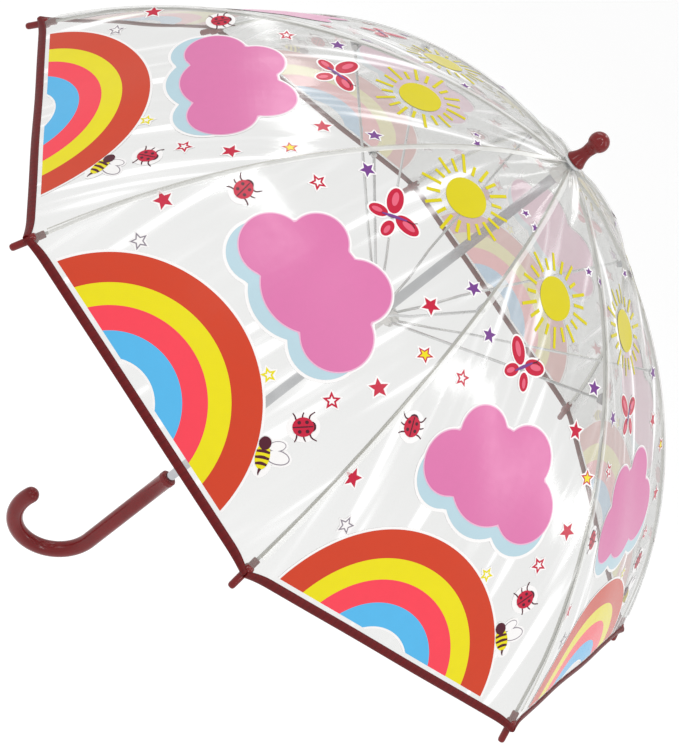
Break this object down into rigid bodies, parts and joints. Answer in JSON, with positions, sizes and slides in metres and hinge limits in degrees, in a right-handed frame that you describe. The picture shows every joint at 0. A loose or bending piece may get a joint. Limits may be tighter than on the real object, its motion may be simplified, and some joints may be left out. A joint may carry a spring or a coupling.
{
  "type": "children's umbrella",
  "caption": "Child's dome umbrella with a clear film canopy on curved ribs, a sliding runner with stretchers, spring catches, a chromed tube shaft and a crook handle.",
  "frame": {"origin": "on the shaft's axis, at the middle of the straight grip", "axes": "+Z along the shaft up to the crown, +X towards the tip of the crook"},
  "size_m": [0.653, 0.653, 0.6224],
  "materials": {
    "maroon_plastic": "glossy",
    "chromed_steel": "polished",
    "white_rod": "painted",
    "white_plastic": "moulded",
    "clear_film": "clear, glossy"
  },
  "bodies": {
    "root": {"shaft": "chromed_steel", "handle": "maroon_plastic", "crown_washer": "clear_film", "finial": "maroon_plastic", "top_notch": "white_plastic", "notch_ring": "chromed_steel"},
    "runner": {"runner": "white_plastic", "runner_ring": "chromed_steel"},
    "open_catch": {"open_catch": "chromed_steel"},
    "closed_catch": {"closed_catch": "chromed_steel"},
    "rib_1": {"rib_1": "white_rod", "tip_cap_1": "maroon_plastic", "bracket_1": "chromed_steel"},
    "stretcher_1": {"stretcher_1": "chromed_steel"},
    "film_1_left": {"film_1_left": "clear_film"},
    "film_1_right": {"film_1_right": "clear_film"},
    "rib_2": {"rib_2": "white_rod", "tip_cap_2": "maroon_plastic", "bracket_2": "chromed_steel"},
    "stretcher_2": {"stretcher_2": "chromed_steel"},
    "film_2_left": {"film_2_left": "clear_film"},
    "film_2_right": {"film_2_right": "clear_film"},
    "rib_3": {"rib_3": "white_rod", "tip_cap_3": "maroon_plastic", "bracket_3": "chromed_steel"},
    "stretcher_3": {"stretcher_3": "chromed_steel"},
    "film_3_left": {"film_3_left": "clear_film"},
    "film_3_right": {"film_3_right": "clear_film"},
    "rib_4": {"rib_4": "white_rod", "tip_cap_4": "maroon_plastic", "bracket_4": "chromed_steel"},
    "stretcher_4": {"stretcher_4": "chromed_steel"},
    "film_4_left": {"film_4_left": "clear_film"},
    "film_4_right": {"film_4_right": "clear_film"},
    "rib_5": {"rib_5": "white_rod", "tip_cap_5": "maroon_plastic", "bracket_5": "chromed_steel"},
    "stretcher_5": {"stretcher_5": "chromed_steel"},
    "film_5_left": {"film_5_left": "clear_film"},
    "film_5_right": {"film_5_right": "clear_film"},
    "rib_6": {"rib_6": "white_rod", "tip_cap_6": "maroon_plastic", "bracket_6": "chromed_steel"},
    "stretcher_6": {"stretcher_6": "chromed_steel"},
    "film_6_left": {"film_6_left": "clear_film"},
    "film_6_right": {"film_6_right": "clear_film"},
    "rib_7": {"rib_7": "white_rod", "tip_cap_7": "maroon_plastic", "bracket_7": "chromed_steel"},
    "stretcher_7": {"stretcher_7": "chromed_steel"},
    "film_7_left": {"film_7_left": "clear_film"},
    "film_7_right": {"film_7_right": "clear_film"},
    "rib_8": {"rib_8": "white_rod", "tip_cap_8": "maroon_plastic", "bracket_8": "chromed_steel"},
    "stretcher_8": {"stretcher_8": "chromed_steel"},
    "film_8_left": {"film_8_left": "clear_film"},
    "film_8_right": {"film_8_right": "clear_film"}
  },
  "joints": [
    {"name": "runner_slide", "type": "slide", "parent": "root", "child": "runner", "axis": [0, 0, -1], "range_m": [0, 0.17561]},
    {"name": "open_catch_press", "type": "hinge", "parent": "root", "child": "open_catch", "pos_m": [0.0008, 0.00006, 0.2497], "axis": [0.0698, -0.9976, 0], "range_deg": [0, 9], "stiffness_Nm_per_rad": 0.05},
    {"name": "closed_catch_press", "type": "hinge", "parent": "root", "child": "closed_catch", "pos_m": [0.0008, 0.00006, 0.15069], "axis": [-0.0698, 0.9976, 0], "range_deg": [0, 9], "stiffness_Nm_per_rad": 0.05},
    {"name": "rib_1_hinge", "type": "hinge", "parent": "root", "child": "rib_1", "pos_m": [0.00853, -0.00286, 0.48834], "axis": [0.3173, 0.9483, 0], "range_deg": [0, 53.5]},
    {"name": "stretcher_1_hinge", "type": "hinge", "parent": "runner", "child": "stretcher_1", "pos_m": [0.01072, -0.00359, 0.302], "axis": [-0.3173, -0.9483, 0], "range_deg": [0, 37.63]},
    {"name": "film_1_left_fold", "type": "hinge", "parent": "rib_1", "child": "film_1_left", "pos_m": [0.0091, -0.00116, 0.48834], "axis": [-0.6762, -0.7061, -0.2103], "range_deg": [0, 26.42], "deforming": ["film_1_left"]},
    {"name": "film_1_right_fold", "type": "hinge", "parent": "rib_1", "child": "film_1_right", "pos_m": [0.00797, -0.00455, 0.48834], "axis": [0.1151, -0.9708, 0.2103], "range_deg": [0, 26.42], "deforming": ["film_1_right"]},
    {"name": "rib_2_hinge", "type": "hinge", "parent": "root", "child": "rib_2", "pos_m": [0.00805, 0.00402, 0.48834], "axis": [-0.4462, 0.8949, 0], "range_deg": [0, 53.5]},
    {"name": "stretcher_2_hinge", "type": "hinge", "parent": "runner", "child": "stretcher_2", "pos_m": [0.01011, 0.00504, 0.302], "axis": [0.4462, -0.8949, 0], "range_deg": [0, 37.63]},
    {"name": "film_2_left_fold", "type": "hinge", "parent": "rib_2", "child": "film_2_left", "pos_m": [0.00726, 0.00562, 0.48834], "axis": [0.0212, -0.9774, -0.2103], "range_deg": [0, 26.42], "deforming": ["film_2_left"]},
    {"name": "film_2_right_fold", "type": "hinge", "parent": "rib_2", "child": "film_2_right", "pos_m": [0.00885, 0.00241, 0.48834], "axis": [0.7679, -0.6051, 0.2103], "range_deg": [0, 26.42], "deforming": ["film_2_right"]},
    {"name": "rib_3_hinge", "type": "hinge", "parent": "root", "child": "rib_3", "pos_m": [0.00286, 0.00853, 0.48834], "axis": [-0.9483, 0.3173, 0], "range_deg": [0, 53.5]},
    {"name": "stretcher_3_hinge", "type": "hinge", "parent": "runner", "child": "stretcher_3", "pos_m": [0.00359, 0.01072, 0.302], "axis": [0.9483, -0.3173, 0], "range_deg": [0, 37.63]},
    {"name": "film_3_left_fold", "type": "hinge", "parent": "rib_3", "child": "film_3_left", "pos_m": [0.00116, 0.0091, 0.48834], "axis": [0.7061, -0.6762, -0.2103], "range_deg": [0, 26.42], "deforming": ["film_3_left"]},
    {"name": "film_3_right_fold", "type": "hinge", "parent": "rib_3", "child": "film_3_right", "pos_m": [0.00455, 0.00797, 0.48834], "axis": [0.9708, 0.1151, 0.2103], "range_deg": [0, 26.42], "deforming": ["film_3_right"]},
    {"name": "rib_4_hinge", "type": "hinge", "parent": "root", "child": "rib_4", "pos_m": [-0.00402, 0.00805, 0.48834], "axis": [-0.8949, -0.4462, 0], "range_deg": [0, 53.5]},
    {"name": "stretcher_4_hinge", "type": "hinge", "parent": "runner", "child": "stretcher_4", "pos_m": [-0.00504, 0.01011, 0.302], "axis": [0.8949, 0.4462, 0], "range_deg": [0, 37.63]},
    {"name": "film_4_left_fold", "type": "hinge", "parent": "rib_4", "child": "film_4_left", "pos_m": [-0.00562, 0.00726, 0.48834], "axis": [0.9774, 0.0212, -0.2103], "range_deg": [0, 26.42], "deforming": ["film_4_left"]},
    {"name": "film_4_right_fold", "type": "hinge", "parent": "rib_4", "child": "film_4_right", "pos_m": [-0.00241, 0.00885, 0.48834], "axis": [0.6051, 0.7679, 0.2103], "range_deg": [0, 26.42], "deforming": ["film_4_right"]},
    {"name": "rib_5_hinge", "type": "hinge", "parent": "root", "child": "rib_5", "pos_m": [-0.00853, 0.00286, 0.48834], "axis": [-0.3173, -0.9483, 0], "range_deg": [0, 53.5]},
    {"name": "stretcher_5_hinge", "type": "hinge", "parent": "runner", "child": "stretcher_5", "pos_m": [-0.01072, 0.00359, 0.302], "axis": [0.3173, 0.9483, 0], "range_deg": [0, 37.63]},
    {"name": "film_5_left_fold", "type": "hinge", "parent": "rib_5", "child": "film_5_left", "pos_m": [-0.0091, 0.00116, 0.48834], "axis": [0.6762, 0.7061, -0.2103], "range_deg": [0, 26.42], "deforming": ["film_5_left"]},
    {"name": "film_5_right_fold", "type": "hinge", "parent": "rib_5", "child": "film_5_right", "pos_m": [-0.00797, 0.00455, 0.48834], "axis": [-0.1151, 0.9708, 0.2103], "range_deg": [0, 26.42], "deforming": ["film_5_right"]},
    {"name": "rib_6_hinge", "type": "hinge", "parent": "root", "child": "rib_6", "pos_m": [-0.00805, -0.00402, 0.48834], "axis": [0.4462, -0.8949, 0], "range_deg": [0, 53.5]},
    {"name": "stretcher_6_hinge", "type": "hinge", "parent": "runner", "child": "stretcher_6", "pos_m": [-0.01011, -0.00504, 0.302], "axis": [-0.4462, 0.8949, 0], "range_deg": [0, 37.63]},
    {"name": "film_6_left_fold", "type": "hinge", "parent": "rib_6", "child": "film_6_left", "pos_m": [-0.00726, -0.00562, 0.48834], "axis": [-0.0212, 0.9774, -0.2103], "range_deg": [0, 26.42], "deforming": ["film_6_left"]},
    {"name": "film_6_right_fold", "type": "hinge", "parent": "rib_6", "child": "film_6_right", "pos_m": [-0.00885, -0.00241, 0.48834], "axis": [-0.7679, 0.6051, 0.2103], "range_deg": [0, 26.42], "deforming": ["film_6_right"]},
    {"name": "rib_7_hinge", "type": "hinge", "parent": "root", "child": "rib_7", "pos_m": [-0.00286, -0.00853, 0.48834], "axis": [0.9483, -0.3173, 0], "range_deg": [0, 53.5]},
    {"name": "stretcher_7_hinge", "type": "hinge", "parent": "runner", "child": "stretcher_7", "pos_m": [-0.00359, -0.01072, 0.302], "axis": [-0.9483, 0.3173, 0], "range_deg": [0, 37.63]},
    {"name": "film_7_left_fold", "type": "hinge", "parent": "rib_7", "child": "film_7_left", "pos_m": [-0.00116, -0.0091, 0.48834], "axis": [-0.7061, 0.6762, -0.2103], "range_deg": [0, 26.42], "deforming": ["film_7_left"]},
    {"name": "film_7_right_fold", "type": "hinge", "parent": "rib_7", "child": "film_7_right", "pos_m": [-0.00455, -0.00797, 0.48834], "axis": [-0.9708, -0.1151, 0.2103], "range_deg": [0, 26.42], "deforming": ["film_7_right"]},
    {"name": "rib_8_hinge", "type": "hinge", "parent": "root", "child": "rib_8", "pos_m": [0.00402, -0.00805, 0.48834], "axis": [0.8949, 0.4462, 0], "range_deg": [0, 53.5]},
    {"name": "stretcher_8_hinge", "type": "hinge", "parent": "runner", "child": "stretcher_8", "pos_m": [0.00504, -0.01011, 0.302], "axis": [-0.8949, -0.4462, 0], "range_deg": [0, 37.63]},
    {"name": "film_8_left_fold", "type": "hinge", "parent": "rib_8", "child": "film_8_left", "pos_m": [0.00562, -0.00726, 0.48834], "axis": [-0.9774, -0.0212, -0.2103], "range_deg": [0, 26.42], "deforming": ["film_8_left"]},
    {"name": "film_8_right_fold", "type": "hinge", "parent": "rib_8", "child": "film_8_right", "pos_m": [0.00241, -0.00885, 0.48834], "axis": [-0.6051, -0.7679, 0.2103], "range_deg": [0, 26.42], "deforming": ["film_8_right"]}
  ],
  "couplings": [
    {"joint": "rib_1_hinge", "follows": "runner_slide", "rad_per_m": 5.3172},
    {"joint": "stretcher_1_hinge", "follows": "runner_slide", "rad_per_m": 3.7399},
    {"joint": "film_1_left_fold", "follows": "runner_slide", "rad_per_m": 2.6259},
    {"joint": "film_1_right_fold", "follows": "runner_slide", "rad_per_m": 2.6259},
    {"joint": "rib_2_hinge", "follows": "runner_slide", "rad_per_m": 5.3172},
    {"joint": "stretcher_2_hinge", "follows": "runner_slide", "rad_per_m": 3.7399},
    {"joint": "film_2_left_fold", "follows": "runner_slide", "rad_per_m": 2.6259},
    {"joint": "film_2_right_fold", "follows": "runner_slide", "rad_per_m": 2.6259},
    {"joint": "rib_3_hinge", "follows": "runner_slide", "rad_per_m": 5.3172},
    {"joint": "stretcher_3_hinge", "follows": "runner_slide", "rad_per_m": 3.7399},
    {"joint": "film_3_left_fold", "follows": "runner_slide", "rad_per_m": 2.6259},
    {"joint": "film_3_right_fold", "follows": "runner_slide", "rad_per_m": 2.6259},
    {"joint": "rib_4_hinge", "follows": "runner_slide", "rad_per_m": 5.3172},
    {"joint": "stretcher_4_hinge", "follows": "runner_slide", "rad_per_m": 3.7399},
    {"joint": "film_4_left_fold", "follows": "runner_slide", "rad_per_m": 2.6259},
    {"joint": "film_4_right_fold", "follows": "runner_slide", "rad_per_m": 2.6259},
    {"joint": "rib_5_hinge", "follows": "runner_slide", "rad_per_m": 5.3172},
    {"joint": "stretcher_5_hinge", "follows": "runner_slide", "rad_per_m": 3.7399},
    {"joint": "film_5_left_fold", "follows": "runner_slide", "rad_per_m": 2.6259},
    {"joint": "film_5_right_fold", "follows": "runner_slide", "rad_per_m": 2.6259},
    {"joint": "rib_6_hinge", "follows": "runner_slide", "rad_per_m": 5.3172},
    {"joint": "stretcher_6_hinge", "follows": "runner_slide", "rad_per_m": 3.7399},
    {"joint": "film_6_left_fold", "follows": "runner_slide", "rad_per_m": 2.6259},
    {"joint": "film_6_right_fold", "follows": "runner_slide", "rad_per_m": 2.6259},
    {"joint": "rib_7_hinge", "follows": "runner_slide", "rad_per_m": 5.3172},
    {"joint": "stretcher_7_hinge", "follows": "runner_slide", "rad_per_m": 3.7399},
    {"joint": "film_7_left_fold", "follows": "runner_slide", "rad_per_m": 2.6259},
    {"joint": "film_7_right_fold", "follows": "runner_slide", "rad_per_m": 2.6259},
    {"joint": "rib_8_hinge", "follows": "runner_slide", "rad_per_m": 5.3172},
    {"joint": "stretcher_8_hinge", "follows": "runner_slide", "rad_per_m": 3.7399},
    {"joint": "film_8_left_fold", "follows": "runner_slide", "rad_per_m": 2.6259},
    {"joint": "film_8_right_fold", "follows": "runner_slide", "rad_per_m": 2.6259}
  ]
}
